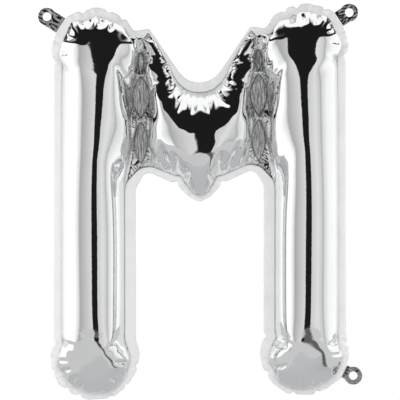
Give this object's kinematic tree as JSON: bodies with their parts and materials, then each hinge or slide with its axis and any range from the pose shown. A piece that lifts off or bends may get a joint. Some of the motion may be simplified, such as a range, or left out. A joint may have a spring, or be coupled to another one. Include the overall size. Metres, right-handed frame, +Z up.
{
  "type": "letter foil balloon",
  "caption": "Air-filled letter M balloon of mirror foil: welded front and back films, flat seam margin, weld eyes and punched hanging tabs.",
  "frame": {"origin": "the middle of the balloon in the plane of its seam, between the legs and just at the lower tip of the middle strokes", "axes": "+Z up the letter, -Y out of the front face, +X to the right of someone looking at the front"},
  "size_m": [0.2919, 0.0686, 0.3563],
  "materials": {
    "mirror_foil": "bright mirror foil, taut, with fine pleats at the seams",
    "welded_foil": "welded double foil, slightly duller and finely striated",
    "clear_film": "thin clear film"
  },
  "bodies": {
    "envelope": {"front_film": "mirror_foil", "back_film": "mirror_foil", "seam_margin": "welded_foil", "weld_eye_left_upper": "welded_foil", "weld_eye_left_middle": "welded_foil", "weld_eye_left_lower": "welded_foil", "weld_eye_right_upper": "welded_foil", "weld_eye_right_middle": "welded_foil", "weld_eye_right_lower": "welded_foil", "valve_lip": "clear_film"},
    "tab_upper_left": {"hanging_tab_upper_left": "welded_foil"},
    "tab_upper_right": {"hanging_tab_upper_right": "welded_foil"},
    "tab_lower_right": {"hanging_tab_lower_right": "welded_foil"}
  },
  "joints": [
    {"name": "fold_upper_left", "type": "hinge", "parent": "envelope", "child": "tab_upper_left", "pos_m": [-0.12514, 0, 0.15834], "axis": [0.5407, 0, 0.8412], "range_deg": [-80, 80]},
    {"name": "fold_upper_right", "type": "hinge", "parent": "envelope", "child": "tab_upper_right", "pos_m": [0.12514, 0, 0.16384], "axis": [-0.5516, 0, 0.8341], "range_deg": [-80, 80]},
    {"name": "fold_lower_right", "type": "hinge", "parent": "envelope", "child": "tab_lower_right", "pos_m": [0.12997, 0, -0.1528], "axis": [0.4324, 0, 0.9017], "range_deg": [-80, 80]}
  ]
}
